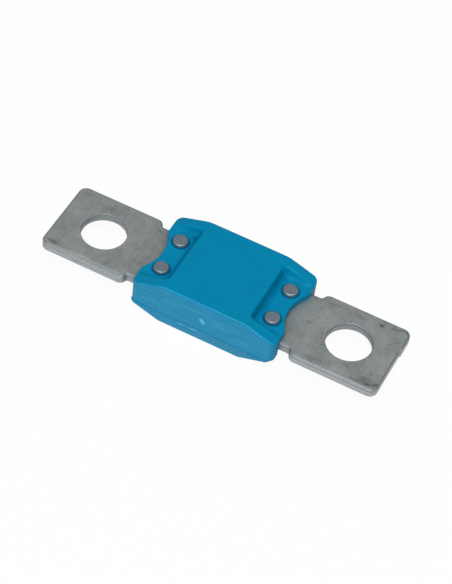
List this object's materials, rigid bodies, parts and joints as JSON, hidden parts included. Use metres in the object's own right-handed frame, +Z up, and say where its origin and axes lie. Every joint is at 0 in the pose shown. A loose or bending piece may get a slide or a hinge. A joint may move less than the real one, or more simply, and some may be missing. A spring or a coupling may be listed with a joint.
{
  "type": "bolt down strip fuse",
  "caption": "Bolt down strip fuse: a flat metal strip with a bolt hole in each blade runs through a blue moulded housing with sloping, recessed ends that rivets hold together.",
  "frame": {"origin": "on the flat base, below the middle between the two bolt holes", "axes": "+X along the strip, +Y across it, +Z up out of the flat top of the housing"},
  "size_m": [0.0694, 0.019, 0.01],
  "materials": {
    "strip_metal": "matt rolled zinc",
    "upper_plastic": "satin moulded",
    "lower_plastic": "satin moulded",
    "rivet_metal": "dull plated"
  },
  "bodies": {
    "root": {"fuse_strip": "strip_metal", "upper_housing": "upper_plastic", "lower_housing": "lower_plastic", "rivet_left_front": "rivet_metal", "rivet_left_back": "rivet_metal", "rivet_right_front": "rivet_metal", "rivet_right_back": "rivet_metal"}
  },
  "joints": []
}
